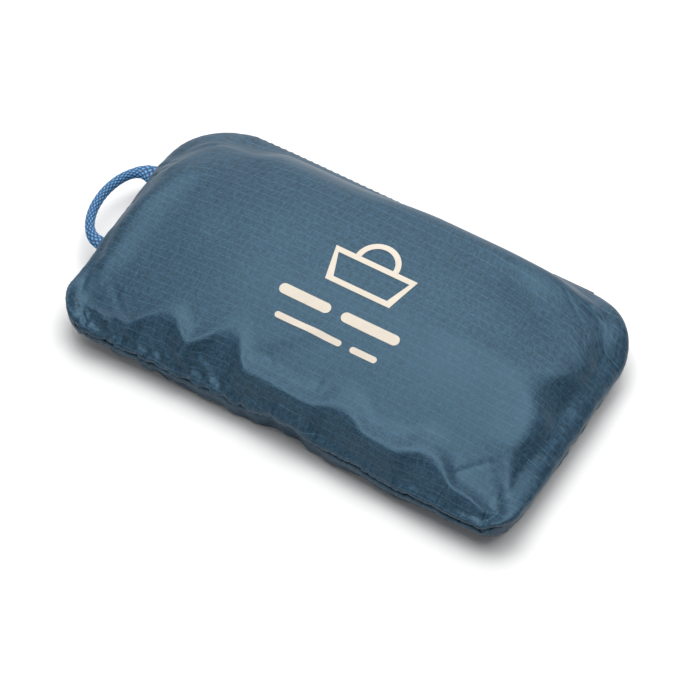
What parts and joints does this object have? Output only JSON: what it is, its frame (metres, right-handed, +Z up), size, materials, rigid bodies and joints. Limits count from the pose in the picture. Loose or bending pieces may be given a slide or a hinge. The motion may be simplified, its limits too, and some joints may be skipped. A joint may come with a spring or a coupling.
{
  "type": "foldable tote bag",
  "caption": "Foldable ripstop tote bag packed in its own zipped pouch, with a braided cord carry loop at one end, a zip along one long side and a plain printed sign on top.",
  "frame": {"origin": "centre of the flat face the packed pouch rests on", "axes": "+Z up; X along the pouch's long side with the carry loop at -X; the zip runs along the +Y side"},
  "size_m": [0.2258, 0.1204, 0.0362],
  "materials": {
    "ripstop": "satin coated ripstop nylon",
    "binding_tape": "woven tape",
    "thread": "sewing thread",
    "transfer_print": "matt heat-transfer film",
    "zip_tape": "woven tape",
    "zip_coil": "satin",
    "zip_stop": "satin",
    "cord": "braided cord",
    "tote_cloth": "satin coated ripstop nylon",
    "webbing": "folded woven webbing",
    "label": "plain woven label",
    "slider_metal": "lacquered zinc"
  },
  "bodies": {
    "pouch": {"pouch_top_panel": "ripstop", "pouch_bottom_panel": "ripstop", "pouch_seam_binding": "binding_tape", "pouch_seam_stitching": "thread", "printed_emblem": "transfer_print", "zipper_tape_upper": "zip_tape", "zipper_tape_lower": "zip_tape", "zipper_coil_upper": "zip_coil", "zipper_coil_lower": "zip_coil", "zipper_top_stops": "zip_stop", "zipper_bottom_stop": "zip_stop", "zipper_end_tab_left": "binding_tape", "zipper_end_tab_right": "binding_tape", "zipper_stitching": "thread", "carry_cord_tail_front": "cord", "carry_cord_tail_back": "cord", "carry_cord_bartacks": "thread", "tote_back_panel": "tote_cloth", "tote_gusset": "tote_cloth", "tote_strap_front": "webbing", "tote_strap_back": "webbing", "tote_mouth_binding": "webbing", "strap_patches": "tote_cloth", "care_label": "label", "tote_front_panel": "tote_cloth"},
    "zip_slider": {"slider_body": "slider_metal"},
    "zip_pull": {"pull_tab": "slider_metal"},
    "cord_loop": {"carry_cord_loop": "cord"}
  },
  "joints": [
    {"name": "slider_travel", "type": "slide", "parent": "pouch", "child": "zip_slider", "axis": [-1, 0, 0], "range_m": [0, 0.149]},
    {"name": "pull_pivot", "type": "hinge", "parent": "zip_slider", "child": "zip_pull", "pos_m": [0.0745, 0.06, 0.015], "axis": [0, 0, -1], "range_deg": [0, 175]},
    {"name": "cord_loop_swing", "type": "hinge", "parent": "pouch", "child": "cord_loop", "pos_m": [-0.1073, 0.003, 0.015], "axis": [0, 1, 0], "range_deg": [-70, 80], "stiffness_Nm_per_rad": 0.004}
  ]
}
